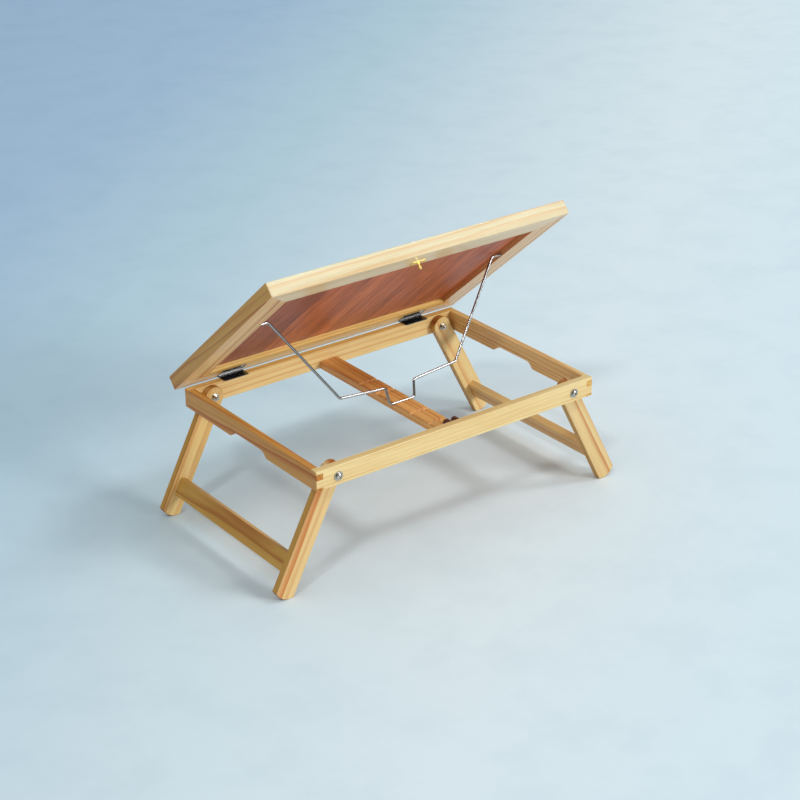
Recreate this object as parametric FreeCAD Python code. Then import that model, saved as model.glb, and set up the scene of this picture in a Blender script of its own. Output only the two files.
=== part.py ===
import FreeCAD, Part
import math
import os

# A folding bed tray of pine: a finger-jointed base frame on two folding pairs of legs,
# and a framed lid that tilts on two butt hinges and is held up by a bent wire prop,
# which drops into one of the notches of a bar across the frame.
# Millimetres, +Z up, +X along the tray, the user's side at -Y and the hinges at +Y.
# Origin: on the floor, under the middle of the whole open table.

Vector = FreeCAD.Vector

# Base frame
base_length = 500.0
base_depth = 340.0
rail_height = 30.0
rail_thickness = 12.5            # front and back rails
side_rail_thickness = 11.5
frame_arris = 0.8                # eased edges of rails, legs and bar
top_finger = 4.0                 # corner joint, from the top: a finger of the front rail,
upper_socket = 9.5               # then one of the side rail,
middle_finger = 12.0             # then one of the front rail; the side rail has the rest
grip_length = 102.0              # hand hold along the side rail's lower edge
grip_depth = 10.0
grip_ramp = 18.0                 # length of the S-curve at each end of the hand hold

# Legs
leg_width = 31.0
leg_thickness = 12.0
leg_reach = 168.5                # pivot to the centre of the foot's curve
foot_radius = 23.0
pivot_inset = 36.5               # from the end of the base frame
pivot_drop = 16.0                # from the top of the rails
leg_running_gap = 0.2            # leg to rail, and leg to washer
leg_stop_gap = 0.3               # open leg to the side rail that stops it
stretcher_width = 28.5
stretcher_thickness = 12.0
stretcher_distance = 144.5       # pivot to the middle of the stretcher
dowel_diameter = 6.0
dowel_length = 24.0
dowel_in_cross_piece = 16.0      # the rest is in the leg or rail
stretcher_dowel_spacing = 14.0

# Pivot bolts
bolt_diameter = 5.0
bolt_play = 0.05                 # all round, in rail and washers
leg_bore_play = 0.08             # all round, in the turning leg
bolt_head_diameter = 9.5
bolt_head_height = 3.2
bolt_head_flat = 4.0             # flat middle of the rounded head
bolt_head_crown = 1.2            # height of the rounded part of the head
drive_width = 1.5                # cross recess: slot width, span and depth
drive_span = 5.2
drive_depth = 1.8
washer_thickness = 1.2
head_washer_diameter = 14.0
nut_washer_diameter = 12.0
nut_across_flats = 8.0
nut_height = 4.2
bolt_end = 2.8                   # thread standing out of the nut
bolt_end_chamfer = 0.6

# Notched bar
bar_width = 32.0
bar_thickness = 12.5
notch_count = 5
notch_pitch = 42.0
first_notch = 105.0              # from the back rail
held_notch = 3                   # the notch that the prop stands in, counted from the back
notch_wall_angle = 50.0
notch_play = 0.3                 # wire to notch
wire_sink = 0.5                  # centre of the wire below the top of the bar

# Lid
lid_side_overhang = 12.0
lid_edge_overhang = 12.0         # past the front and back rails when closed
lid_thickness = 22.0
lid_rail_width = 43.0
lid_lip_height = 7.0             # underside of the lid to the panel
lid_rebate = 8.0                 # ledge that carries the panel's edge
panel_thickness = 5.0
panel_play = 0.25
lid_corner_radius = 3.0
lid_edge_radius = 1.5
lid_gap = 1.5                    # closed lid above the rails

# Hinges
hinge_inset = 81.0               # end of the tray to the middle of the hinge
hinge_length = 42.0
hinge_leaf_width = 20.5          # from the pin's axis
hinge_leaf_thickness = 1.2
hinge_leaf_spacing = 0.8         # between the two leaves when closed
hinge_corner_radius = 1.5
knuckle_diameter = 5.5
knuckle_count = 5
knuckle_gap = 0.2
knuckle_clearance = 0.5          # knuckle to the groove in the lid
hinge_pin_diameter = 2.5
hinge_pin_play = 0.05
hinge_pin_end = 0.8              # pin past the knuckles
hinge_pin_rounding = 0.7
pin_setback = 3.5                # pin's axis behind the back rail
mortise_play = 0.5
hinge_screw_spacing = 26.0

# Wood screws of hinges, strike and catch
screw_diameter = 2.6
screw_head_diameter = 5.0
screw_head_height = 1.1
hinge_screw_length = 9.0
strike_screw_length = 9.0
catch_screw_length = 9.0

# Wire prop
wire_diameter = 4.0
prop_reach = 170.0               # pivot to the wire in the notch
prop_pivot_distance = 227.0      # from the lid's hinge edge
prop_pivot_height = 3.0          # above the lid's underside
prop_bore_play = 0.05
prop_end_depth = 8.0             # wire inside the lid's side rail
prop_bore_depth = 10.0
prop_shoulder_inset = 17.0       # bend at the pivot, from the side rail
prop_knee_half_span = 106.0
prop_knee_distance = 137.5
prop_step_half_span = 26.0
prop_step_distance = 144.0
prop_tip_half_span = 22.5
prop_bend_radius = 6.0
prop_tip_bend_radius = 4.0

# Strike on the lid and catch on the front rail
strike_length = 26.0
strike_width = 9.0
strike_thickness = 1.0
strike_corner_radius = 2.0
strike_screw_spacing = 18.0
spear_length = 11.0              # below the lid's underside
spear_thickness = 1.6
spear_neck_width = 2.4
spear_head_width = 4.8
spear_head_length = 4.4
spear_tip_width = 1.4
spear_tip_rise = 2.4             # from the tip to the widest part of the head
catch_width = 32.0
catch_height = 14.0
catch_depth = 15.0
catch_wall = 1.4
catch_floor = 2.0
catch_drop = 3.2                 # top of the back plate below the top of the rail
catch_back = 2.4
catch_lip_height = 4.5
catch_screw_spacing = 20.0
jaw_play = 0.3
jaw_travel = 1.5
jaw_rise = 1.2                   # jaws above the back plate
jaw_mouth = 2.4                  # gap between the noses
jaw_nose_drop = 3.2
jaw_nose_length = 1.8
jaw_nose_slope = 2.2
jaw_crown_radius = 5.5

# Working values
cut_margin = 1.0                 # cutting shapes reach this far past a face
tolerance = 0.001                # for picking edges by their place

# Heights and places that follow
half_length = base_length / 2
half_depth = base_depth / 2
pivot_x = half_length - pivot_inset
stop_across = pivot_inset - side_rail_thickness
stop_below = rail_height - pivot_drop
leg_splay = math.acos((leg_width / 2 + leg_stop_gap) / math.hypot(stop_across, stop_below))
leg_splay = leg_splay - math.atan2(stop_below, stop_across)
rail_top = foot_radius + leg_reach * math.cos(leg_splay) + pivot_drop
rail_bottom = rail_top - rail_height
pivot_z = rail_top - pivot_drop
inner_depth = half_depth - rail_thickness
leg_outer_y = inner_depth - leg_running_gap
leg_inner_y = leg_outer_y - leg_thickness
bar_top = rail_bottom + bar_thickness
hinge_y = half_depth + pin_setback
hinge_z = rail_top + hinge_leaf_thickness + hinge_leaf_spacing / 2
lid_half_length = half_length + lid_side_overhang
lid_back_y = half_depth + lid_edge_overhang
lid_front_y = -lid_back_y
lid_bottom = rail_top + lid_gap
lid_inner_x = lid_half_length - lid_rail_width
prop_pivot_y = lid_back_y - prop_pivot_distance
prop_pivot_z = lid_bottom + prop_pivot_height
hinge_screw_y = half_depth - rail_thickness / 2
jaw_y_low = -inner_depth + catch_back + jaw_play
jaw_y_high = -inner_depth + catch_depth - catch_wall - jaw_play
jaw_top = rail_top - catch_drop + jaw_rise
strike_y = (jaw_y_low + jaw_y_high) / 2
head_seat_y = -half_depth - washer_thickness
nut_washer_y = -leg_inner_y + leg_running_gap
nut_seat_y = nut_washer_y + washer_thickness


def notch_y(number):
    return inner_depth - first_notch - (number - 1) * notch_pitch


# The lid's tilt is where the prop's length meets the notch that it stands in.
held_y = notch_y(held_notch)
held_z = bar_top - wire_sink
pivot_radius = math.hypot(hinge_y - prop_pivot_y, prop_pivot_z - hinge_z)
notch_radius = math.hypot(hinge_y - held_y, hinge_z - held_z)
opening = pivot_radius ** 2 + notch_radius ** 2 - prop_reach ** 2
lid_tilt = math.acos(opening / (2 * pivot_radius * notch_radius))
lid_tilt = lid_tilt - math.atan2(hinge_z - held_z, hinge_y - held_y)
lid_tilt = lid_tilt - math.atan2(prop_pivot_z - hinge_z, hinge_y - prop_pivot_y)

# The whole table reaches from the front bolt heads to the lid's back edge.
edge_behind_pin = lid_back_y - hinge_y - lid_edge_radius
edge_above_pin = lid_bottom + lid_thickness - hinge_z - lid_edge_radius
back_reach = hinge_y + edge_behind_pin * math.cos(lid_tilt)
back_reach = back_reach + edge_above_pin * math.sin(lid_tilt) + lid_edge_radius
front_reach = half_depth + washer_thickness + bolt_head_height
middle_y = (back_reach - front_reach) / 2


def box(x_low, x_high, y_low, y_high, z_low, z_high):
    return Part.makeBox(x_high - x_low, y_high - y_low, z_high - z_low, Vector(x_low, y_low, z_low))


def rod_along_x(radius, x_low, x_high, y, z):
    return Part.makeCylinder(radius, x_high - x_low, Vector(x_low, y, z), Vector(1, 0, 0))


def rod_along_y(radius, x, y_low, y_high, z):
    return Part.makeCylinder(radius, y_high - y_low, Vector(x, y_low, z), Vector(0, 1, 0))


def ease(shape, edges):
    return shape.makeChamfer(frame_arris, edges)


def is_along(edge, direction):
    if not isinstance(edge.Curve, Part.Line):
        return False
    return abs(edge.Curve.Direction.dot(direction)) > 1 - tolerance


def tilt_lid(shape):
    tilted = shape.copy()
    tilted.rotate(Vector(0, hinge_y, hinge_z), Vector(-1, 0, 0), math.degrees(lid_tilt))
    return tilted


def splay_leg(shape, side):
    splayed = shape.copy()
    splayed.rotate(Vector(side * pivot_x, 0, pivot_z), Vector(0, -side, 0), math.degrees(leg_splay))
    return splayed


# ---- Base frame ----

def frame_ring():
    outer = box(-half_length, half_length, -half_depth, half_depth, rail_bottom, rail_top)
    inner_x = half_length - side_rail_thickness
    ring = outer.cut(box(-inner_x, inner_x, -inner_depth, inner_depth, rail_bottom, rail_top))
    eased = []
    for edge in ring.Edges:
        upright = is_along(edge, Vector(0, 0, 1))
        at_corner = abs(abs(edge.CenterOfMass.x) - half_length) < tolerance
        if at_corner or not upright:
            eased.append(edge)
    return ease(ring, eased)


def end_rail_space(side):
    # The front rail (side -1) or back rail (side 1) with its fingers, as a block of space.
    finger_levels = (
        (rail_top - top_finger, rail_top),
        (rail_top - top_finger - upper_socket - middle_finger, rail_top - top_finger - upper_socket),
    )
    y_low = min(side * inner_depth, side * half_depth)
    y_high = max(side * inner_depth, side * half_depth)
    between = half_length - side_rail_thickness
    space = box(-between, between, y_low, y_high, rail_bottom, rail_top)
    for z_low, z_high in finger_levels:
        space = space.fuse(box(-half_length, half_length, y_low, y_high, z_low, z_high))
    return space.removeSplitter()


def grip_cutter():
    # Hand hold: a shallow arch in the lower edge, with an S-curve at each end.
    half = grip_length / 2
    flat = half - grip_ramp
    radius = (grip_ramp ** 2 + grip_depth ** 2) / (4 * grip_depth)
    turn = math.asin(grip_ramp / 2 / radius) / 2
    low = rail_bottom
    high = rail_bottom + grip_depth
    middle = rail_bottom + grip_depth / 2
    reach = radius * math.sin(turn)
    rise = radius * (1 - math.cos(turn))
    edges = []
    for side in (-1, 1):
        foot = Vector(0, side * half, low)
        centre = Vector(0, side * (half - grip_ramp / 2), middle)
        head = Vector(0, side * flat, high)
        foot_bow = Vector(0, side * (half - reach), low + rise)
        head_bow = Vector(0, side * (flat + reach), high - rise)
        edges.append(Part.Arc(foot, foot_bow, centre).toShape())
        edges.append(Part.Arc(centre, head_bow, head).toShape())
    edges.append(Part.LineSegment(Vector(0, -flat, high), Vector(0, flat, high)).toShape())
    below = low - cut_margin
    edges.append(Part.LineSegment(Vector(0, -half, low), Vector(0, -half, below)).toShape())
    edges.append(Part.LineSegment(Vector(0, -half, below), Vector(0, half, below)).toShape())
    edges.append(Part.LineSegment(Vector(0, half, below), Vector(0, half, low)).toShape())
    outline = Part.Wire(Part.__sortEdges__(edges))
    return Part.Face(outline).extrude(Vector(side_rail_thickness + 2 * cut_margin, 0, 0))


def end_rail(ring, side):
    rail = ring.common(end_rail_space(side))
    hole_low = min(side * inner_depth, side * half_depth)
    hole_high = max(side * inner_depth, side * half_depth)
    for x in (-pivot_x, pivot_x):
        rail = rail.cut(rod_along_y(bolt_diameter / 2 + bolt_play, x, hole_low, hole_high, pivot_z))
    return rail.cut(bar_dowel(side))


def front_rail(ring):
    rail = end_rail(ring, -1)
    for screw in catch_screws():
        rail = rail.cut(screw)
    return rail


def back_rail(ring):
    rail = end_rail(ring, 1)
    for screw in hinge_base_screws():
        rail = rail.cut(screw)
    return rail


def side_rail(ring, side):
    space = box(0, half_length, -half_depth, half_depth, rail_bottom, rail_top)
    if side < 0:
        space = box(-half_length, 0, -half_depth, half_depth, rail_bottom, rail_top)
    rail = ring.common(space).cut(end_rail_space(-1)).cut(end_rail_space(1))
    cutter = grip_cutter()
    middle_x = half_length - side_rail_thickness / 2
    cutter.translate(Vector(side * middle_x - side_rail_thickness / 2 - cut_margin, 0, 0))
    return rail.cut(cutter)


def bar_dowel(side):
    buried = dowel_length - dowel_in_cross_piece
    y_end = side * (inner_depth + buried)
    y_start = side * (inner_depth - dowel_in_cross_piece)
    z = rail_bottom + bar_thickness / 2
    return rod_along_y(dowel_diameter / 2, 0, min(y_start, y_end), max(y_start, y_end), z)


def notch_cutter(number):
    # A round-bottomed V, so that the wire lifts out backwards as the lid is raised.
    radius = wire_diameter / 2 + notch_play
    wall = math.radians(notch_wall_angle)
    y = notch_y(number)
    tangent_y = radius * math.sin(wall)
    tangent_z = held_z - radius * math.cos(wall)
    mouth_z = bar_top + cut_margin
    mouth_y = tangent_y + (mouth_z - tangent_z) / math.tan(wall)
    left = Vector(-bar_width, y - tangent_y, tangent_z)
    bottom = Vector(-bar_width, y, held_z - radius)
    right = Vector(-bar_width, y + tangent_y, tangent_z)
    left_mouth = Vector(-bar_width, y - mouth_y, mouth_z)
    right_mouth = Vector(-bar_width, y + mouth_y, mouth_z)
    edges = [
        Part.LineSegment(left_mouth, left).toShape(),
        Part.Arc(left, bottom, right).toShape(),
        Part.LineSegment(right, right_mouth).toShape(),
        Part.LineSegment(right_mouth, left_mouth).toShape(),
    ]
    return Part.Face(Part.Wire(edges)).extrude(Vector(2 * bar_width, 0, 0))


def ratchet_bar():
    bar = box(-bar_width / 2, bar_width / 2, -inner_depth, inner_depth, rail_bottom, bar_top)
    long_edges = [edge for edge in bar.Edges if is_along(edge, Vector(0, 1, 0))]
    bar = ease(bar, long_edges)
    for number in range(1, notch_count + 1):
        bar = bar.cut(notch_cutter(number))
    return bar.cut(bar_dowel(-1)).cut(bar_dowel(1))


# ---- Legs ----

def leg(side, end):
    # Round-topped leg of the left (-1) or right (1) pair, at the front (-1) or back (1).
    half = leg_width / 2
    shoulder = leg_reach + math.sqrt(foot_radius ** 2 - half ** 2)
    top_left = Vector(-half, 0, 0)
    top_right = Vector(half, 0, 0)
    foot_left = Vector(-half, 0, -shoulder)
    foot_right = Vector(half, 0, -shoulder)
    edges = [
        Part.Arc(top_left, Vector(0, 0, half), top_right).toShape(),
        Part.LineSegment(top_right, foot_right).toShape(),
        Part.Arc(foot_right, Vector(0, 0, -leg_reach - foot_radius), foot_left).toShape(),
        Part.LineSegment(foot_left, top_left).toShape(),
    ]
    board = Part.Face(Part.Wire(edges)).extrude(Vector(0, leg_thickness, 0))
    outline = [edge for edge in board.Edges if not is_along(edge, Vector(0, 1, 0))]
    board = ease(board, outline)
    y_low = min(end * leg_inner_y, end * leg_outer_y)
    board.translate(Vector(side * pivot_x, y_low, pivot_z))
    bore_radius = bolt_diameter / 2 + leg_bore_play
    bore = rod_along_y(bore_radius, side * pivot_x, y_low, y_low + leg_thickness, pivot_z)
    board = splay_leg(board.cut(bore), side)
    for dowel in stretcher_dowels(side):
        board = board.cut(dowel)
    return board


def stretcher(side):
    z = pivot_z - stretcher_distance
    x = side * pivot_x
    board = box(
        x - stretcher_thickness / 2, x + stretcher_thickness / 2,
        -leg_inner_y, leg_inner_y,
        z - stretcher_width / 2, z + stretcher_width / 2,
    )
    long_edges = [edge for edge in board.Edges if is_along(edge, Vector(0, 1, 0))]
    board = splay_leg(ease(board, long_edges), side)
    for dowel in stretcher_dowels(side):
        board = board.cut(dowel)
    return board


def stretcher_dowels(side):
    dowels = []
    for end in (-1, 1):
        for offset in (-stretcher_dowel_spacing / 2, stretcher_dowel_spacing / 2):
            start = end * (leg_inner_y - dowel_in_cross_piece)
            stop = start + end * dowel_length
            z = pivot_z - stretcher_distance + offset
            dowel = rod_along_y(dowel_diameter / 2, side * pivot_x, min(start, stop), max(start, stop), z)
            dowels.append(splay_leg(dowel, side))
    return dowels


# ---- Pivot bolts: built for the front rail, and turned round for the back one ----

def at_pivots(make):
    pieces = []
    for side in (-1, 1):
        for end in (-1, 1):
            piece = make()
            piece.translate(Vector(side * pivot_x, 0, pivot_z))
            if end > 0:
                piece.rotate(Vector(side * pivot_x, 0, pivot_z), Vector(0, 0, 1), 180)
            pieces.append(piece)
    return pieces


def pivot_bolt():
    # Pan head with a cross recess, outside the rail; the end of the thread inside.
    head_radius = bolt_head_diameter / 2
    flat_radius = bolt_head_flat / 2
    radius = bolt_diameter / 2
    flat_y = head_seat_y - bolt_head_height
    crown_y = flat_y + bolt_head_crown
    end_y = nut_seat_y + nut_height + bolt_end
    # The crown is an arc tangent to the flat.
    crown_width = head_radius - flat_radius
    crown_radius = (crown_width ** 2 + bolt_head_crown ** 2) / (2 * bolt_head_crown)
    half_turn = math.asin(crown_width / crown_radius) / 2
    bow = Vector(
        flat_radius + crown_radius * math.sin(half_turn),
        flat_y + crown_radius * (1 - math.cos(half_turn)),
        0,
    )
    crown = Part.Arc(Vector(flat_radius, flat_y, 0), bow, Vector(head_radius, crown_y, 0)).toShape()
    rest = Part.makePolygon([
        Vector(head_radius, crown_y, 0),
        Vector(head_radius, head_seat_y, 0),
        Vector(radius, head_seat_y, 0),
        Vector(radius, end_y - bolt_end_chamfer, 0),
        Vector(radius - bolt_end_chamfer, end_y, 0),
        Vector(0, end_y, 0),
        Vector(0, flat_y, 0),
        Vector(flat_radius, flat_y, 0),
    ])
    outline = Part.Wire([crown] + rest.Edges)
    bolt = Part.Face(outline).revolve(Vector(0, 0, 0), Vector(0, 1, 0), 360)
    half = drive_width / 2
    span = drive_span / 2
    recess_y = flat_y + drive_depth
    bolt = bolt.cut(box(-span, span, flat_y, recess_y, -half, half))
    return bolt.cut(box(-half, half, flat_y, recess_y, -span, span))


def ring_washer(diameter, y_low):
    washer = rod_along_y(diameter / 2, 0, y_low, y_low + washer_thickness, 0)
    return washer.cut(rod_along_y(bolt_diameter / 2 + bolt_play, 0, y_low, y_low + washer_thickness, 0))


def head_washer():
    return ring_washer(head_washer_diameter, head_seat_y)


def nut_washer():
    return ring_washer(nut_washer_diameter, nut_washer_y)


def pivot_nut():
    flat = nut_across_flats / 2
    corner = flat / math.cos(math.pi / 6)
    points = []
    for index in range(7):
        angle = index * math.pi / 3
        points.append(Vector(corner * math.cos(angle), nut_seat_y, corner * math.sin(angle)))
    nut = Part.Face(Part.makePolygon(points)).extrude(Vector(0, nut_height, 0))
    # A cone turns the corners off at the outer end.
    cone = Part.makeCone(flat + nut_height, flat, nut_height, Vector(0, nut_seat_y, 0), Vector(0, 1, 0))
    nut = nut.common(cone)
    bore = rod_along_y(bolt_diameter / 2 + bolt_play, 0, nut_seat_y, nut_seat_y + nut_height, 0)
    return nut.cut(bore)


# ---- Hinges ----

def hinge_centres():
    return (hinge_inset - half_length, half_length - hinge_inset)


def knuckle_spans(first):
    # Every other knuckle from the first one, as (low, high) along the hinge.
    pitch = hinge_length / knuckle_count
    spans = []
    for index in range(first, knuckle_count, 2):
        low = -hinge_length / 2 + index * pitch
        high = low + pitch
        if index > 0:
            low = low + knuckle_gap / 2
        if index < knuckle_count - 1:
            high = high - knuckle_gap / 2
        spans.append((low, high))
    return spans


def hinge_leaf(x_centre, z_low, first_knuckle):
    # One leaf as it lies when the hinge is closed.
    radius = knuckle_diameter / 2
    y_edge = hinge_y - hinge_leaf_width
    z_high = z_low + hinge_leaf_thickness
    plate = box(-hinge_length / 2, hinge_length / 2, y_edge, hinge_y, z_low, z_high)
    corners = []
    for edge in plate.Edges:
        if is_along(edge, Vector(0, 0, 1)) and abs(edge.CenterOfMass.y - y_edge) < tolerance:
            corners.append(edge)
    plate = plate.makeFillet(hinge_corner_radius, corners)
    clearance = radius + knuckle_gap
    leaf = plate.cut(rod_along_x(clearance, -hinge_length / 2, hinge_length / 2, hinge_y, hinge_z))
    for low, high in knuckle_spans(first_knuckle):
        leaf = leaf.fuse(rod_along_x(radius, low, high, hinge_y, hinge_z))
        leaf = leaf.fuse(box(low, high, hinge_y - clearance - knuckle_gap, hinge_y, z_low, z_high))
    bore = hinge_pin_diameter / 2 + hinge_pin_play
    leaf = leaf.cut(rod_along_x(bore, -hinge_length / 2, hinge_length / 2, hinge_y, hinge_z))
    leaf = leaf.removeSplitter()
    leaf.translate(Vector(x_centre, 0, 0))
    return leaf


def hinge_base_leaf(x_centre):
    leaf = hinge_leaf(x_centre, rail_top, 0)
    for screw in hinge_base_screws():
        leaf = leaf.cut(screw)
    return leaf


def hinge_lid_leaf(x_centre):
    leaf = hinge_leaf(x_centre, rail_top + hinge_leaf_thickness + hinge_leaf_spacing, 1)
    for screw in closed_lid_hinge_screws():
        leaf = leaf.cut(screw)
    return tilt_lid(leaf)


def hinge_pins():
    half = hinge_length / 2 + hinge_pin_end
    pins = []
    for x_centre in hinge_centres():
        pin = rod_along_x(hinge_pin_diameter / 2, -half, half, hinge_y, hinge_z)
        ends = [edge for edge in pin.Edges if abs(abs(edge.CenterOfMass.x) - half) < tolerance]
        pin = pin.makeFillet(hinge_pin_rounding, ends)
        pin.translate(Vector(x_centre, 0, 0))
        pins.append(pin)
    return pins


def wood_screw(length):
    # Countersunk screw pointing down, its flat head at z = 0.
    head_radius = screw_head_diameter / 2
    radius = screw_diameter / 2
    point = radius * 2
    outline = Part.makePolygon([
        Vector(0, 0, 0),
        Vector(head_radius, 0, 0),
        Vector(radius, 0, -screw_head_height),
        Vector(radius, 0, point - length),
        Vector(0, 0, -length),
        Vector(0, 0, 0),
    ])
    return Part.Face(outline).revolve(Vector(0, 0, 0), Vector(0, 0, 1), 360)


def hinge_screw_places():
    places = []
    for x_centre in hinge_centres():
        for offset in (-hinge_screw_spacing / 2, hinge_screw_spacing / 2):
            places.append((x_centre + offset, hinge_screw_y))
    return places


def hinge_base_screws():
    screws = []
    for x, y in hinge_screw_places():
        screw = wood_screw(hinge_screw_length)
        screw.translate(Vector(x, y, rail_top + hinge_leaf_thickness))
        screws.append(screw)
    return screws


def closed_lid_hinge_screws():
    screws = []
    for x, y in hinge_screw_places():
        screw = wood_screw(hinge_screw_length)
        screw.rotate(Vector(0, 0, 0), Vector(1, 0, 0), 180)
        screw.translate(Vector(x, y, rail_top + hinge_leaf_thickness + hinge_leaf_spacing))
        screws.append(screw)
    return screws


# ---- Lid: modelled closed, then tilted about the hinge pins ----

def closed_lid_ring():
    lid_top = lid_bottom + lid_thickness
    ring = box(-lid_half_length, lid_half_length, lid_front_y, lid_back_y, lid_bottom, lid_top)
    corners = [edge for edge in ring.Edges if is_along(edge, Vector(0, 0, 1))]
    ring = ring.makeFillet(lid_corner_radius, corners)
    mid_z = lid_bottom + lid_thickness / 2
    rims = [edge for edge in ring.Edges if abs(edge.CenterOfMass.z - mid_z) > tolerance]
    ring = ring.makeFillet(lid_edge_radius, rims)
    inner_y = lid_back_y - lid_rail_width
    ring = ring.cut(box(-lid_inner_x, lid_inner_x, -inner_y, inner_y, lid_bottom, lid_top))
    ledge_x = lid_inner_x + lid_rebate
    ledge_y = inner_y + lid_rebate
    ledge_z = lid_bottom + lid_lip_height
    return ring.cut(box(-ledge_x, ledge_x, -ledge_y, ledge_y, ledge_z, lid_top))


def mitred_space(corners):
    points = [Vector(x, y, lid_bottom) for x, y in corners]
    outline = Part.makePolygon(points + [points[0]])
    return Part.Face(outline).extrude(Vector(0, 0, lid_thickness))


def lid_long_rail_space(side):
    x = lid_half_length
    y = side * lid_back_y
    inner_y = side * (lid_back_y - lid_rail_width)
    return mitred_space([(-x, y), (x, y), (lid_inner_x, inner_y), (-lid_inner_x, inner_y)])


def lid_side_rail_space(side):
    x = side * lid_half_length
    y = lid_back_y
    inner_x = side * lid_inner_x
    inner_y = lid_back_y - lid_rail_width
    return mitred_space([(x, -y), (x, y), (inner_x, inner_y), (inner_x, -inner_y)])


def hinge_mortise(x_centre):
    # Housing for the lid leaf, with a groove that clears the knuckles.
    half = hinge_length / 2 + mortise_play
    seat = rail_top + 2 * hinge_leaf_thickness + hinge_leaf_spacing
    y_edge = hinge_y - hinge_leaf_width - mortise_play
    housing = box(x_centre - half, x_centre + half, y_edge, hinge_y, lid_bottom - lid_gap, seat)
    groove_radius = knuckle_diameter / 2 + knuckle_clearance
    end_room = hinge_pin_end + mortise_play
    groove_half = hinge_length / 2 + end_room
    groove = rod_along_x(groove_radius, x_centre - groove_half, x_centre + groove_half, hinge_y, hinge_z)
    return housing.fuse(groove)


def lid_hinge_rail(ring):
    rail = ring.common(lid_long_rail_space(1))
    for x_centre in hinge_centres():
        rail = rail.cut(hinge_mortise(x_centre))
    for screw in closed_lid_hinge_screws():
        rail = rail.cut(screw)
    return tilt_lid(rail)


def lid_free_rail(ring):
    rail = ring.common(lid_long_rail_space(-1))
    for screw in closed_strike_screws():
        rail = rail.cut(screw)
    return tilt_lid(rail)


def lid_side_rail(ring, side):
    rail = ring.common(lid_side_rail_space(side))
    radius = wire_diameter / 2 + prop_bore_play
    x_mouth = side * lid_inner_x
    x_end = side * (lid_inner_x + prop_bore_depth)
    bore = rod_along_x(radius, min(x_mouth, x_end), max(x_mouth, x_end), prop_pivot_y, prop_pivot_z)
    return tilt_lid(rail.cut(bore))


def lid_panel():
    half_x = lid_inner_x + lid_rebate - panel_play
    half_y = lid_back_y - lid_rail_width + lid_rebate - panel_play
    z = lid_bottom + lid_lip_height
    return tilt_lid(box(-half_x, half_x, -half_y, half_y, z, z + panel_thickness))


# ---- Wire prop ----

def rounded_path(points, radii):
    # Straight runs joined by tangent arcs, one radius for each inner point.
    edges = []
    start = points[0]
    for index in range(1, len(points) - 1):
        corner = points[index]
        back = (points[index - 1] - corner).normalize()
        ahead = (points[index + 1] - corner).normalize()
        half_angle = math.acos(back.dot(ahead)) / 2
        radius = radii[index - 1]
        tangent = radius / math.tan(half_angle)
        bisector = (back + ahead).normalize()
        middle = corner + bisector * (radius / math.sin(half_angle) - radius)
        arc_start = corner + back * tangent
        arc_end = corner + ahead * tangent
        edges.append(Part.LineSegment(start, arc_start).toShape())
        edges.append(Part.Arc(arc_start, middle, arc_end).toShape())
        start = arc_end
    edges.append(Part.LineSegment(start, points[-1]).toShape())
    return Part.Wire(edges)


def prop_wire():
    # Bent in one plane, hanging straight down from its pivot, then swung to the notch.
    end_x = lid_inner_x + prop_end_depth
    shoulder_x = lid_inner_x - prop_shoulder_inset
    right_half = [
        (prop_tip_half_span, prop_reach, prop_tip_bend_radius),
        (prop_step_half_span, prop_step_distance, prop_tip_bend_radius),
        (prop_knee_half_span, prop_knee_distance, prop_bend_radius),
        (shoulder_x, 0, prop_bend_radius),
    ]
    corners = [(-x, drop, radius) for x, drop, radius in reversed(right_half)] + right_half
    points = [Vector(-end_x, 0, 0)]
    points = points + [Vector(x, 0, -drop) for x, drop, radius in corners]
    points.append(Vector(end_x, 0, 0))
    path = rounded_path(points, [radius for x, drop, radius in corners])
    section = Part.Wire([Part.Circle(points[0], Vector(1, 0, 0), wire_diameter / 2).toShape()])
    wire = path.makePipeShell([section], True, False)
    pivot = tilt_lid(Part.Vertex(0, prop_pivot_y, prop_pivot_z)).Point
    lean = math.atan2(pivot.y - held_y, pivot.z - held_z)
    wire.rotate(Vector(0, 0, 0), Vector(-1, 0, 0), math.degrees(lean))
    wire.translate(pivot)
    return wire


# ---- Strike and catch ----

def strike_plate():
    # Stamped plate under the lid's free rail, with a spear that the catch takes.
    z = lid_bottom
    half = strike_length / 2
    y_low = strike_y - strike_width / 2
    y_high = strike_y + strike_width / 2
    plate = box(-half, half, y_low, y_high, z - strike_thickness, z)
    corners = [edge for edge in plate.Edges if is_along(edge, Vector(0, 0, 1))]
    plate = plate.makeFillet(strike_corner_radius, corners)
    base_z = z - strike_thickness
    tip_z = z - spear_length
    half_outline = [
        (spear_tip_width / 2, tip_z),
        (spear_head_width / 2, tip_z + spear_tip_rise),
        (spear_neck_width / 2, tip_z + spear_head_length),
        (spear_neck_width / 2, base_z),
    ]
    outline = half_outline + [(-x, level) for x, level in reversed(half_outline)]
    points = [Vector(x, strike_y - spear_thickness / 2, level) for x, level in outline]
    spear = Part.Face(Part.makePolygon(points + [points[0]])).extrude(Vector(0, spear_thickness, 0))
    plate = plate.fuse(spear).removeSplitter()
    for screw in closed_strike_screws():
        plate = plate.cut(screw)
    return tilt_lid(plate)


def closed_strike_screws():
    screws = []
    for x in (-strike_screw_spacing / 2, strike_screw_spacing / 2):
        screw = wood_screw(strike_screw_length)
        screw.rotate(Vector(0, 0, 0), Vector(1, 0, 0), 180)
        screw.translate(Vector(x, strike_y, lid_bottom - strike_thickness))
        screws.append(screw)
    return screws


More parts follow.
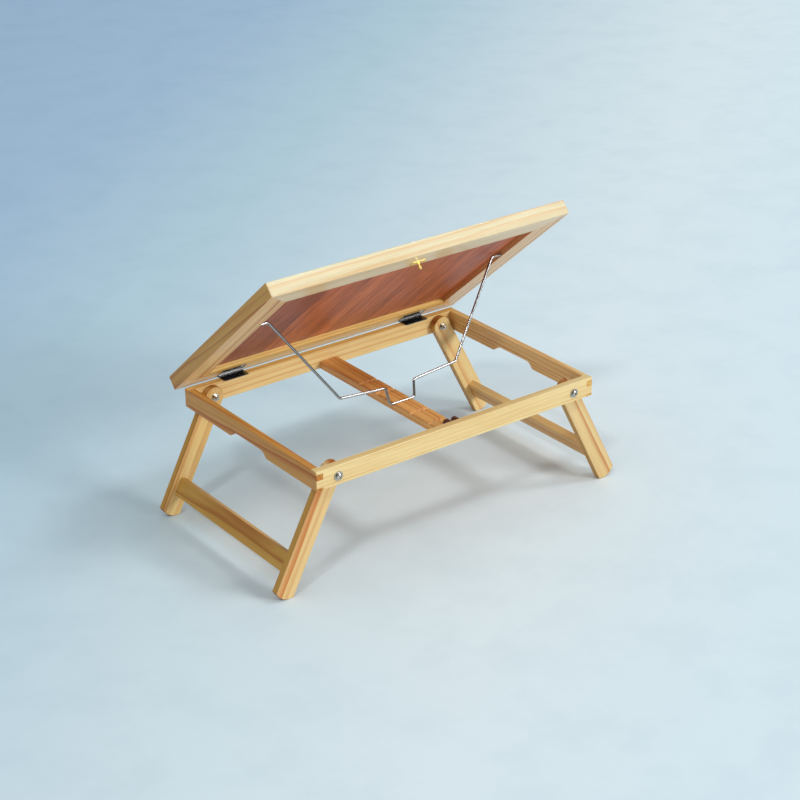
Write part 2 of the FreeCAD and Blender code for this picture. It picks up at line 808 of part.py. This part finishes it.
def catch_body():
    # Moulded channel on the front rail's inner face, which guides the two jaws.
    half = catch_width / 2
    y_back = -inner_depth
    y_front = y_back + catch_depth
    z_high = rail_top - catch_drop
    z_low = z_high - catch_height
    body = box(-half, half, y_back, y_front, z_low, z_high)
    channel_x = half - catch_wall
    channel_z = z_low + catch_floor
    body = body.cut(box(-channel_x, channel_x, y_back + catch_back, y_front - catch_wall, channel_z, z_high))
    lip_z = channel_z + catch_lip_height
    body = body.cut(box(-half, half, y_back + catch_back, y_front, lip_z, z_high))
    for screw in catch_screws():
        body = body.cut(screw)
    return body


def catch_screws():
    screws = []
    z = rail_top - catch_drop - catch_height / 2
    for x in (-catch_screw_spacing / 2, catch_screw_spacing / 2):
        screw = wood_screw(catch_screw_length)
        screw.rotate(Vector(0, 0, 0), Vector(1, 0, 0), -90)
        screw.translate(Vector(x, catch_back - inner_depth, z))
        screws.append(screw)
    return screws


def catch_jaw(side):
    # Jaw with a rounded crown and a nose that closes over the spear's head.
    z_low = rail_top - catch_drop - catch_height + catch_floor + jaw_play
    y_low = jaw_y_low
    outer = catch_width / 2 - catch_wall - jaw_travel - jaw_play
    nose = jaw_mouth / 2
    throat = nose + jaw_nose_length
    nose_z = jaw_top - jaw_nose_drop
    crown_bow = jaw_crown_radius * (1 - math.sqrt(0.5))
    crown_start = Vector(outer, y_low, jaw_top - jaw_crown_radius)
    crown_end = Vector(outer - jaw_crown_radius, y_low, jaw_top)
    crown = Part.Arc(crown_start, Vector(outer - crown_bow, y_low, jaw_top - crown_bow), crown_end)
    rest = Part.makePolygon([
        crown_end,
        Vector(throat + jaw_nose_length, y_low, jaw_top),
        Vector(nose, y_low, nose_z),
        Vector(throat, y_low, nose_z - jaw_nose_slope),
        Vector(throat, y_low, z_low),
        Vector(outer, y_low, z_low),
        crown_start,
    ])
    outline = Part.Wire([crown.toShape()] + rest.Edges)
    jaw = Part.Face(outline).extrude(Vector(0, jaw_y_high - jaw_y_low, 0))
    if side < 0:
        jaw = jaw.mirror(Vector(0, 0, 0), Vector(1, 0, 0))
    return jaw


def save(name, solids):
    placed = []
    for solid in solids:
        moved = solid.copy()
        moved.translate(Vector(0, -middle_y, 0))
        placed.append(moved)
    shape = placed[0]
    if len(placed) > 1:
        shape = Part.makeCompound(placed)
    shape.exportStep("parts/" + name + ".step")


os.makedirs("parts", exist_ok=True)

ring = frame_ring()
save("front_rail", [front_rail(ring)])
save("back_rail", [back_rail(ring)])
save("left_side_rail", [side_rail(ring, -1)])
save("right_side_rail", [side_rail(ring, 1)])
save("ratchet_bar", [ratchet_bar()])
save("ratchet_bar_dowels", [bar_dowel(-1), bar_dowel(1)])

for side, side_name, x_hinge in zip((-1, 1), ("left", "right"), hinge_centres()):
    save(side_name + "_front_leg", [leg(side, -1)])
    save(side_name + "_back_leg", [leg(side, 1)])
    save(side_name + "_stretcher", [stretcher(side)])
    save(side_name + "_stretcher_dowels", stretcher_dowels(side))
    save(side_name + "_hinge_base_leaf", [hinge_base_leaf(x_hinge)])
    save(side_name + "_hinge_lid_leaf", [hinge_lid_leaf(x_hinge)])
    save(side_name + "_catch_jaw", [catch_jaw(side)])

save("pivot_bolts", at_pivots(pivot_bolt))
save("pivot_head_washers", at_pivots(head_washer))
save("pivot_nut_washers", at_pivots(nut_washer))
save("pivot_nuts", at_pivots(pivot_nut))
save("hinge_pins", hinge_pins())
save("hinge_base_screws", hinge_base_screws())

lid_ring = closed_lid_ring()
save("lid_hinge_rail", [lid_hinge_rail(lid_ring)])
save("lid_free_rail", [lid_free_rail(lid_ring)])
save("lid_left_rail", [lid_side_rail(lid_ring, -1)])
save("lid_right_rail", [lid_side_rail(lid_ring, 1)])
save("lid_panel", [lid_panel()])
save("hinge_lid_screws", [tilt_lid(screw) for screw in closed_lid_hinge_screws()])
save("strike_plate", [strike_plate()])
save("strike_screws", [tilt_lid(screw) for screw in closed_strike_screws()])
save("prop_wire", [prop_wire()])
save("catch_body", [catch_body()])
save("catch_screws", catch_screws())

# The joints and the mount, for the record.
prop_pivot = tilt_lid(Part.Vertex(0, prop_pivot_y, prop_pivot_z)).Point
tray_top = tilt_lid(Part.Vertex(0, 0, lid_bottom + lid_lip_height + panel_thickness)).Point
print("angles: legs", math.degrees(leg_splay), "lid", math.degrees(lid_tilt))
print("leg pivots: x", pivot_x, "y", -middle_y, "z", pivot_z)
print("lid hinge: y", hinge_y - middle_y, "z", hinge_z)
print("prop pivot: y", prop_pivot.y - middle_y, "z", prop_pivot.z)
print("tray top: y", tray_top.y - middle_y, "z", tray_top.z)
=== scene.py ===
import math

import bpy
from mathutils import Matrix, Vector

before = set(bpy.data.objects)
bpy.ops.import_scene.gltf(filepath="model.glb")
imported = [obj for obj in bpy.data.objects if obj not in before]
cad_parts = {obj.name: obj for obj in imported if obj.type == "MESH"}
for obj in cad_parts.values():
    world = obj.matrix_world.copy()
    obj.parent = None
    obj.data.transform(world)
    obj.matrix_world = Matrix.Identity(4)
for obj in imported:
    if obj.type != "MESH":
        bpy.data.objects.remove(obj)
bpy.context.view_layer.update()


# Camera: stands to the left of the table and above it, looking down over the near
# corner of the tray, as the table was photographed.
camera_data = bpy.data.cameras.new("camera")
camera_data.sensor_width = 36.0
camera_data.lens = 87.33
camera = bpy.data.objects.new("camera", camera_data)
bpy.context.collection.objects.link(camera)
camera_place = (-1.5444, -2.1039, 1.4069)
camera_turn = math.radians(36.747)
camera_dip = math.radians(25.608)
camera_roll = math.radians(-0.516)
camera.matrix_world = (
    Matrix.Translation(camera_place)
    @ Matrix.Rotation(-camera_turn, 4, "Z")
    @ Matrix.Rotation(math.pi / 2 - camera_dip, 4, "X")
    @ Matrix.Rotation(camera_roll, 4, "Z")
)
bpy.context.scene.camera = camera
bpy.context.scene.view_settings.view_transform = "Standard"


# Studio: two soft lamps high on the left and right of the front, a wide soft one low in
# front, and a pale room that is a little darker towards the horizon.
def soft_lamp(name, towards, strength, softness, colour):
    lamp_data = bpy.data.lights.new(name, "SUN")
    lamp_data.energy = strength * math.pi
    lamp_data.angle = math.radians(softness)
    lamp_data.color = colour
    lamp = bpy.data.objects.new(name, lamp_data)
    lamp.rotation_mode = "QUATERNION"
    lamp.rotation_quaternion = Vector(towards).to_track_quat("Z", "Y")
    bpy.context.collection.objects.link(lamp)


def fill_inputs(tree, node, inputs):
    for socket, value in inputs.items():
        if isinstance(value, bpy.types.NodeSocket):
            tree.links.new(value, node.inputs[socket])
        else:
            node.inputs[socket].default_value = value


def add_node(tree, kind, inputs, **settings):
    node = tree.nodes.new("ShaderNode" + kind)
    for setting, value in settings.items():
        setattr(node, setting, value)
    fill_inputs(tree, node, inputs)
    return node


def ramp(tree, value, stops):
    node = add_node(tree, "ValToRGB", {"Fac": value})
    elements = node.color_ramp.elements
    while len(elements) < len(stops):
        elements.new(1.0)
    for element, (position, colour) in zip(elements, stops):
        element.position = position
        element.color = colour
    return node.outputs["Color"]


soft_lamp("right_lamp", towards=(0.546, -0.346, 0.763),
          strength=0.17, softness=13.0, colour=(0.99, 0.99, 1.0))
soft_lamp("left_lamp", towards=(-0.575, -0.369, 0.73),
          strength=0.15, softness=6.0, colour=(0.98, 0.99, 1.0))
soft_lamp("front_lamp", towards=(0.40, -0.84, 0.36),
          strength=0.51, softness=22.0, colour=(1.0, 0.99, 0.98))

room = bpy.data.worlds.new("room")
room.use_nodes = True
bpy.context.scene.world = room
room_air = add_node(room.node_tree, "TexCoord", {})
room_axes = add_node(room.node_tree, "SeparateXYZ", {"Vector": room_air.outputs["Generated"]})
room_shade = ramp(room.node_tree, room_axes.outputs["Z"], [
    (0.0, (0.10, 0.11, 0.125, 1.0)),
    (0.3, (0.20, 0.22, 0.24, 1.0)),
    (1.0, (0.68, 0.72, 0.77, 1.0)),
])
fill_inputs(room.node_tree, room.node_tree.nodes["Background"], {"Color": room_shade})


# Floor: one wide sheet of pale painted board, with faint rubbed cloudiness in the paint.
# Its colour is darker and bluer towards the back left: painted shade, standing in for
# the lamps' light falling off across the floor.
def tone(red, green, blue):
    def linear(value):
        value = value / 255
        return value / 12.92 if value < 0.04045 else ((value + 0.055) / 1.055) ** 2.4
    return linear(red), linear(green), linear(blue), 1.0


def new_finish(name):
    finish = bpy.data.materials.new(name)
    finish.use_nodes = True
    place = add_node(finish.node_tree, "TexCoord", {})
    return finish, finish.node_tree, place.outputs


def set_surface(tree, inputs):
    fill_inputs(tree, tree.nodes["Principled BSDF"], inputs)


def noise(tree, vector, scale, detail, roughness=0.5, distortion=0.0):
    return add_node(tree, "TexNoise", {
        "Vector": vector, "Scale": scale, "Detail": detail,
        "Roughness": roughness, "Distortion": distortion,
    }).outputs["Fac"]


def mix(tree, share, first, second, blend="MIX"):
    return add_node(tree, "MixRGB", {
        "Fac": share, "Color1": first, "Color2": second}, blend_type=blend).outputs["Color"]


def calculate(tree, operation, *terms):
    return add_node(
        tree, "Math", dict(enumerate(terms)), operation=operation).outputs["Value"]


floor_size = 60.0
plain = (1.0, 1.0, 1.0, 1.0)
bounced_paint = (0.80, 0.77, 0.73, 1.0)
bpy.ops.object.select_all(action="DESELECT")
bpy.ops.mesh.primitive_grid_add(x_subdivisions=2, y_subdivisions=2, size=floor_size)
floor = bpy.context.object
floor.name = "floor"
floor.data.name = "floor"
floor_paint_and_shade, floor_tree, floor_place = new_finish("floor_paint_and_shade")
across_floor = add_node(floor_tree, "Mapping", {
    "Vector": floor_place["Object"],
    "Location": (-1.258, 1.554, 0.0),
    "Rotation": (0.0, 0.0, math.radians(-51.0)),
    "Scale": (3.0, 3.0, 1.0),
}, vector_type="TEXTURE")
sweep = add_node(floor_tree, "TexGradient", {"Vector": across_floor.outputs["Vector"]})
# Painted shade: darker and bluer towards the back left, where the lamps' light falls off.
falloff_shade_tone = ramp(floor_tree, sweep.outputs["Color"], [
    (0.0, tone(156, 184, 207)),
    (0.3, tone(166, 193, 215)),
    (0.46, tone(186, 212, 222)),
    (0.62, tone(214, 231, 236)),
    (0.74, tone(228, 241, 244)),
    (0.86, tone(226, 242, 247)),
])
cloud = noise(floor_tree, floor_place["Object"], scale=9.0, detail=6.0, roughness=0.62)
cloud_tone = ramp(floor_tree, cloud, [(0.36, (0.955, 0.965, 0.97, 1.0)), (0.54, plain)])
paint_and_falloff_shade = mix(floor_tree, 1.0, falloff_shade_tone, cloud_tone, "MULTIPLY")
# The camera and the bright metal see the paint with its painted shade; the light it throws
# back up is plain.
ray = add_node(floor_tree, "LightPath", {}).outputs
mirrored = calculate(floor_tree, "MAXIMUM", ray["Is Camera Ray"], ray["Is Glossy Ray"])
seen = calculate(floor_tree, "MAXIMUM", mirrored, ray["Is Transmission Ray"])
set_surface(floor_tree, {
    "Base Color": mix(floor_tree, seen, bounced_paint, paint_and_falloff_shade),
    "Roughness": 0.75,
    "Specular IOR Level": 0.2,
})
floor.data.materials.append(floor_paint_and_shade)


# Front rail: a planed strip of pine, finger-jointed and glued into the side rails and
# sealed with clear lacquer. Its growth rings show on the face as faint straight lines.
def map_range(tree, value, low, high, from_low=0.0, from_high=1.0):
    return add_node(tree, "MapRange", {
        "Value": value, "From Min": from_low, "From Max": from_high,
        "To Min": low, "To Max": high,
    }).outputs["Result"]


def noise_along(tree, position, scale, detail):
    return add_node(tree, "TexNoise", {
        "W": position, "Scale": scale, "Detail": detail,
    }, noise_dimensions="1D").outputs["Fac"]


def bump(tree, height, strength, distance):
    return add_node(tree, "Bump", {
        "Strength": strength, "Distance": distance, "Height": height}).outputs["Normal"]


def heart_distance(tree, log):
    flat = add_node(tree, "VectorMath", {0: log, 1: (1.0, 1.0, 0.0)}, operation="MULTIPLY")
    length = add_node(
        tree, "VectorMath", {0: flat.outputs["Vector"]}, operation="LENGTH")
    return length.outputs["Value"]


def late_wood(tree, log, reach, ring, waver, streaks):
    # The rings wander in slow waves along the trunk.
    bend = noise(tree, log, scale=38.0, detail=2.0, roughness=0.4)
    bent = calculate(tree, "ADD", reach, map_range(tree, bend, -waver, waver))
    # Good and bad years: the rings lie closer in some places than in others.
    years = noise_along(tree, bent, scale=0.35 / ring, detail=1.0)
    drift = 1.6 * ring
    grown = calculate(tree, "ADD", bent, map_range(tree, years, -drift, drift))
    season = calculate(tree, "FRACT", calculate(tree, "DIVIDE", grown, ring))
    # Each ring darkens slowly towards the end of its year and then stops short.
    darkness = ramp(tree, season, [
        (0.0, (0.0, 0.0, 0.0, 1.0)),
        (0.26, (0.04, 0.04, 0.04, 1.0)),
        (0.62, (0.48, 0.48, 0.48, 1.0)),
        (0.86, plain),
        (1.0, (0.0, 0.0, 0.0, 1.0)),
    ])
    weight = noise_along(tree, grown, scale=0.75 / ring, detail=0.0)
    weight = map_range(tree, weight, 1.0 - streaks, 1.0, from_low=0.36, from_high=0.64)
    return calculate(tree, "MULTIPLY", darkness, weight)


def resin_line(tree, reach, radius):
    off_line = calculate(tree, "ABSOLUTE", calculate(tree, "SUBTRACT", reach, radius))
    return map_range(tree, off_line, 0.0, 1.0, from_low=0.0012, from_high=0.0005)


def facing(tree, normal, direction, from_low, from_high):
    along = add_node(tree, "VectorMath", {0: normal, 1: direction}, operation="DOT_PRODUCT")
    either_way = calculate(tree, "ABSOLUTE", along.outputs["Value"])
    return map_range(tree, either_way, 0.0, 1.0, from_low, from_high)


def pine(name, heart, grain, ring, early, late, ends, waver=0.004, streaks=0.7, gloss=0.3,
         resin_ring=None, side_shade=plain):
    # The tree's heart line lies beside the strip, so that every face and end of the
    # strip is cut from the same rings. The grain runs along the log's own Z.
    finish, tree, place = new_finish(name)
    log_stretch = 12.0
    log = add_node(tree, "Mapping", {
        "Vector": place["Object"],
        "Location": heart,
        "Rotation": grain,
        "Scale": (1.0, 1.0, log_stretch),
    }, vector_type="TEXTURE").outputs["Vector"]
    reach = heart_distance(tree, log)
    wood = mix(tree, late_wood(tree, log, reach, ring, waver, streaks), early, late)
    # One year that bled resin and dried as a thin brown line.
    if resin_ring:
        wood = mix(tree, resin_line(tree, reach, resin_ring), wood, tone(150, 88, 36))
    # Warmer and paler lengths of the strip.
    slow = noise(tree, log, scale=30.0, detail=3.0, roughness=0.55)
    slow_tone = ramp(tree, slow, [(0.34, (0.86, 0.74, 0.58, 1.0)), (0.62, plain)])
    wood = mix(tree, 0.75, wood, slow_tone, "MULTIPLY")
    # Fibres and the short dark resin canals.
    threads = add_node(tree, "Mapping", {"Vector": log, "Scale": (1.0, 1.0, 0.35)})
    fibre = noise(tree, threads.outputs["Vector"], scale=800.0, detail=4.0, roughness=0.6)
    fibre_tone = ramp(tree, fibre, [
        (0.28, (0.66, 0.52, 0.40, 1.0)),
        (0.36, (0.90, 0.85, 0.78, 1.0)),
        (0.58, plain),
    ])
    wood = mix(tree, 0.6, wood, fibre_tone, "MULTIPLY")
    # Sawn ends drink the lacquer and turn darker.
    turn = Matrix.Rotation(grain[1], 3, "Y") @ Matrix.Rotation(grain[0], 3, "X")
    end_part = facing(tree, place["Normal"], turn @ Vector((0.0, 0.0, 1.0)), 0.5, 0.85)
    wood = mix(tree, end_part, wood, mix(tree, 1.0, wood, ends, "MULTIPLY"))
    # The left and right edges lie flat to the rings and show more of the brown late wood.
    # Faces turned to the left and right are multiplied by the side colour: painted shade,
    # darkening the side faces that the lamps light less than the fronts.
    side_shade_part = facing(tree, place["Normal"], (1.0, 0.0, 0.0), 0.6, 0.85)
    wood = mix(tree, side_shade_part, wood, side_shade, "MULTIPLY")
    set_surface(tree, {
        "Base Color": wood,
        "Roughness": map_range(tree, fibre, 0.55, 0.4),
        "Specular IOR Level": 0.3,
        "Coat Weight": gloss,
        "Coat Roughness": 0.1,
        "Normal": bump(tree, fibre, strength=0.2, distance=0.0003),
    })
    return finish


def finish_node(name, finish):
    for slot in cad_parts[name].material_slots:
        slot.material = finish


rail_ends = tone(222, 188, 152)
finish_node("front_rail", pine(
    "front_rail_pine", heart=(0.0, -0.05, 0.235), grain=(0.0, math.radians(90.3), 0.0),
    ring=0.0026, early=tone(239, 221, 165), late=tone(223, 186, 120), ends=rail_ends,
    streaks=0.9, gloss=0.2))


# Back rail: the same planed pine strip as the front one, a little redder and broader in
# its rings. It is finger-jointed into the side rails and carries the two hinges.
finish_node("back_rail", pine(
    "back_rail_pine", heart=(0.0, 0.118, 0.14), grain=(0.0, math.radians(89.4), 0.0),
    ring=0.0048, early=tone(244, 218, 155), late=tone(219, 162, 88), ends=rail_ends,
    streaks=0.9, gloss=0.2))


# Side rails: pine strips with a hand hold cut out of the lower edge, finger-jointed at
# both ends. The left one is an orange piece near the heart, the right one straighter.
finger_ends = tone(238, 224, 190)
finish_node("left_side_rail", pine(
    "left_side_rail_pine", heart=(-0.275, 0.0, 0.15),
    grain=(math.radians(-91.6), 0.0, 0.0), ring=0.0056,
    early=tone(212, 162, 88), late=tone(181, 98, 35), ends=finger_ends,
    waver=0.009, streaks=0.9, gloss=0.15))
finish_node("right_side_rail", pine(
    "right_side_rail_pine", heart=(0.215, 0.0, 0.10),
    grain=(math.radians(-89.3), 0.0, 0.0), ring=0.0062,
    early=tone(240, 208, 142), late=tone(197, 130, 66), ends=finger_ends, gloss=0.15))


# Ratchet bar: a flat pine bar down the middle of the tray, dowelled into the front and
# back rails, with five slanting notches sawn across its top for the prop wire.
finish_node("ratchet_bar", pine(
    "ratchet_bar_pine", heart=(0.03, 0.0, 0.11), grain=(math.radians(-90.6), 0.0, 0.0),
    ring=0.0064, early=tone(236, 186, 112), late=tone(196, 116, 54),
    ends=tone(232, 205, 160), gloss=0.15))


# Legs: pine straps, rounded at the top and curved at the foot, that turn on a bolt each.
# Rings run down their faces as streaks from pale honey to orange.
leg_splay = math.radians(27.286)
leg_grain_lean = {"left": leg_splay + 0.012, "right": 0.01 - leg_splay}
leg_wood = {
    "left_front": (tone(230, 204, 146), tone(200, 126, 62), (-0.285, -0.13, 0.09), 0.0068),
    "left_back": (tone(233, 207, 142), tone(206, 142, 74), (-0.23, 0.18, 0.09), 0.0066),
    "right_front": (tone(231, 210, 155), tone(198, 134, 72), (0.225, -0.14, 0.09), 0.0072),
    "right_back": (tone(238, 216, 156), tone(222, 172, 110), (0.285, 0.17, 0.09), 0.0078),
}
# Each leg's faces turned left and right get a painted shade through the edge colour given
# below.
for leg, (early, late, heart, ring) in leg_wood.items():
    lean = leg_grain_lean[leg.split("_")[0]]
    finish_node(leg + "_leg", pine(
        leg + "_leg_pine", heart=heart, grain=(0.0, lean, 0.0), ring=ring,
        early=early, late=late, ends=tone(206, 158, 116),
        waver=0.007, streaks=0.85, gloss=0.15, side_shade=tone(226, 201, 144)))


# Stretchers: one pine strip between each pair of legs, which keeps the pair together as
# it folds. Each end is held to its leg by two glued dowels.
stretcher_grain = (math.radians(-90.5), 0.0, 0.0)
stretcher_wood = {
    "left": ((-0.33, 0.0, 0.10), tone(210, 168, 86), tone(166, 90, 30)),
    "right": ((0.25, 0.0, 0.085), tone(232, 196, 130), tone(206, 146, 78)),
}
for side, (heart, early, late) in stretcher_wood.items():
    finish_node(side + "_stretcher", pine(
        side + "_stretcher_pine", heart=heart, grain=stretcher_grain, ring=0.008,
        early=early, late=late, ends=tone(200, 140, 100),
        waver=0.012, streaks=0.9, gloss=0.15))


# Dowels: smooth beech pins, glued into drilled holes at the ends of the stretchers and
# of the ratchet bar. They are hidden once the frame is together.
for dowels in ("left_stretcher_dowels", "right_stretcher_dowels", "ratchet_bar_dowels"):
    finish_node(dowels, pine(
        dowels + "_beech", heart=(0.0, 0.0, 0.04), grain=(math.radians(-90.0), 0.0, 0.0),
        ring=0.0016, early=tone(222, 186, 142), late=tone(204, 162, 116),
        ends=tone(210, 170, 130), waver=0.001))


# Lid frame: four pine rails, mitred and glued at the corners. The lid has been sanded
# and lacquered as one, and its wood is paler than the tray's.
lid_tilt = math.radians(40.8834)
lid_slope = math.pi / 2 - lid_tilt
mitre_ends = tone(222, 170, 120)
finish_node("lid_free_rail", pine(
    "lid_free_rail_pine", heart=(0.05, -0.062, 0.36), grain=(0.0, math.radians(89.7), 0.0),
    ring=0.0066, early=tone(236, 228, 192), late=tone(233, 200, 150), ends=mitre_ends,
    waver=0.003, gloss=0.6))
finish_node("lid_hinge_rail", pine(
    "lid_hinge_rail_pine", heart=(-0.05, 0.205, 0.25),
    grain=(0.0, math.radians(90.5), 0.0), ring=0.006,
    early=tone(242, 211, 126), late=tone(222, 164, 81), ends=mitre_ends,
    streaks=0.9, gloss=0.4))
# The left rail's faces turned left and right get a painted shade through the edge colour
# given below.
finish_node("lid_left_rail", pine(
    "lid_left_rail_pine", heart=(-0.30, 0.0, 0.31), grain=(lid_slope + 0.05, 0.0, 0.0),
    ring=0.0115, early=tone(236, 207, 150), late=tone(196, 126, 72), ends=mitre_ends,
    waver=0.014, gloss=0.3, side_shade=tone(226, 202, 136)))
# The right rail's faces turned left and right get a painted pinkish shade through the edge
# colour given below.
finish_node("lid_right_rail", pine(
    "lid_right_rail_pine", heart=(0.28, 0.0, 0.33), grain=(lid_slope, 0.0, 0.0),
    ring=0.007, early=tone(234, 206, 154), late=tone(211, 159, 100), ends=mitre_ends,
    gloss=0.4, resin_ring=0.027, side_shade=tone(246, 220, 210)))


# Lid panel: thin plywood faced with a red-brown veneer, its grain running from the
# hinges to the free edge. The face is joined from two leaves, the left one darker, and
# the cut shows the wood's bands and short dark pores.
veneer_light = tone(208, 114, 62)
veneer_dark = tone(140, 58, 30)
veneer_middle = tuple((light + dark) / 2 for light, dark in zip(veneer_light, veneer_dark))
veneer_stretch = 34.0
leaf_joint = -0.129
leaf_joint_half_width = 0.0004
left_leaf_tint = (0.60, 0.55, 0.80, 1.0)

veneer, veneer_tree, veneer_place = new_finish("lid_panel_veneer")
sheet = add_node(veneer_tree, "Mapping", {
    "Vector": veneer_place["Object"],
    "Rotation": (lid_slope, 0.0, 0.0),
    "Scale": (1.0, 1.0, veneer_stretch),
}, vector_type="TEXTURE").outputs["Vector"]
bands = noise(veneer_tree, sheet, scale=26.0, detail=4.0, roughness=0.6, distortion=0.15)
fine_streaks = noise(veneer_tree, sheet, scale=460.0, detail=4.0, roughness=0.6)
pores = noise(veneer_tree, sheet, scale=620.0, detail=2.0)
figure = ramp(veneer_tree, mix(veneer_tree, 0.5, bands, fine_streaks), [
    (0.40, veneer_dark), (0.5, veneer_middle), (0.60, veneer_light)])
pore_tone = ramp(veneer_tree, pores, [(0.32, (0.62, 0.52, 0.48, 1.0)), (0.46, plain)])
pored = mix(veneer_tree, 0.8, figure, pore_tone, "MULTIPLY")
axes = add_node(veneer_tree, "SeparateXYZ", {"Vector": veneer_place["Object"]})
left_leaf = map_range(
    veneer_tree, axes.outputs["X"], 0.0, 1.0,
    from_low=leaf_joint + leaf_joint_half_width, from_high=leaf_joint - leaf_joint_half_width)
set_surface(veneer_tree, {
    "Base Color": mix(veneer_tree, left_leaf, pored, left_leaf_tint, "MULTIPLY"),
    "Specular IOR Level": 0.3,
    "Roughness": map_range(veneer_tree, fine_streaks, 0.5, 0.34),
    "Normal": bump(veneer_tree, pores, strength=0.3, distance=0.0003),
})
finish_node("lid_panel", veneer)


# Pivot bolts, washers and nuts: bright zinc-plated steel, put through the rails and
# legs. Their faces carry the faint lines and dull patches that turning and plating leave.
def metal(name, colour, roughness, grit, dents):
    finish, tree, place = new_finish(name)
    dull = tuple(value * 0.8 for value in colour[:3]) + (1.0,)
    blotch = noise(tree, place["Object"], scale=420.0, detail=4.0, roughness=0.6)
    drawn = add_node(tree, "Mapping", {"Vector": place["Object"], "Scale": (1.0, 1.0, 0.12)})
    scratch = noise(tree, drawn.outputs["Vector"], scale=1800.0, detail=3.0)
    set_surface(tree, {
        "Base Color": ramp(tree, blotch, [(0.3, dull), (0.6, colour)]),
        "Roughness": map_range(tree, scratch, roughness - grit, roughness + grit),
        "Metallic": 1.0,
        "Normal": bump(tree, scratch, strength=dents, distance=0.0001),
    })
    return finish


zinc = metal("bright_zinc", (0.56, 0.53, 0.47, 1.0), roughness=0.24, grit=0.08, dents=0.12)
for fixing in ("pivot_bolts", "pivot_head_washers", "pivot_nut_washers", "pivot_nuts"):
    finish_node(fixing, zinc)


# Prop wire: one length of 4 mm steel wire, bent to shape and nickel plated. Its two ends
# spring into a blind hole in each of the lid's side rails.
nickel = metal(
    "nickel_plate", (0.40, 0.40, 0.40, 1.0), roughness=0.18, grit=0.02, dents=0.01)
finish_node("prop_wire", nickel)


# Hinges: two steel leaves folded round a bright pin, let into the wood of lid and back
# rail. Leaves and screws are stove enamelled gloss black.
def enamel(name, colour, roughness, clear):
    finish, tree, place = new_finish(name)
    worn = tuple(value * 1.9 + 0.01 for value in colour[:3]) + (1.0,)
    rub = noise(tree, place["Object"], scale=260.0, detail=5.0, roughness=0.65)
    set_surface(tree, {
        "Base Color": ramp(tree, rub, [(0.45, colour), (0.72, worn)]),
        "Roughness": map_range(tree, rub, roughness - 0.06, roughness + 0.12),
        "Coat Weight": clear,
        "Coat Roughness": 0.08,
        "Normal": bump(tree, rub, strength=0.15, distance=0.0002),
    })
    return finish


black = enamel("black_enamel", (0.010, 0.010, 0.011, 1.0), roughness=0.24, clear=0.8)
for steel in ("left_hinge_base_leaf", "left_hinge_lid_leaf", "right_hinge_base_leaf",
              "right_hinge_lid_leaf", "hinge_base_screws", "hinge_lid_screws"):
    finish_node(steel, black)
finish_node("hinge_pins", zinc)


# Strike plate: a small plate of pressed brass with a spear standing out of it, that the
# catch grips. Two brass wood screws hold it under the free rail.
brass = metal("bright_brass", (1.0, 0.76, 0.26, 1.0), roughness=0.38, grit=0.08, dents=0.12)
finish_node("strike_plate", brass)
finish_node("strike_screws", brass)


# Catch: a brown moulded body, held on the inside of the front rail by two bright screws,
# with two sprung jaws that close on the spear.
catch_brown = enamel("catch_plastic", (0.085, 0.032, 0.018, 1.0), roughness=0.36, clear=0.0)
for moulding in ("catch_body", "left_catch_jaw", "right_catch_jaw"):
    finish_node(moulding, catch_brown)
finish_node("catch_screws", zinc)
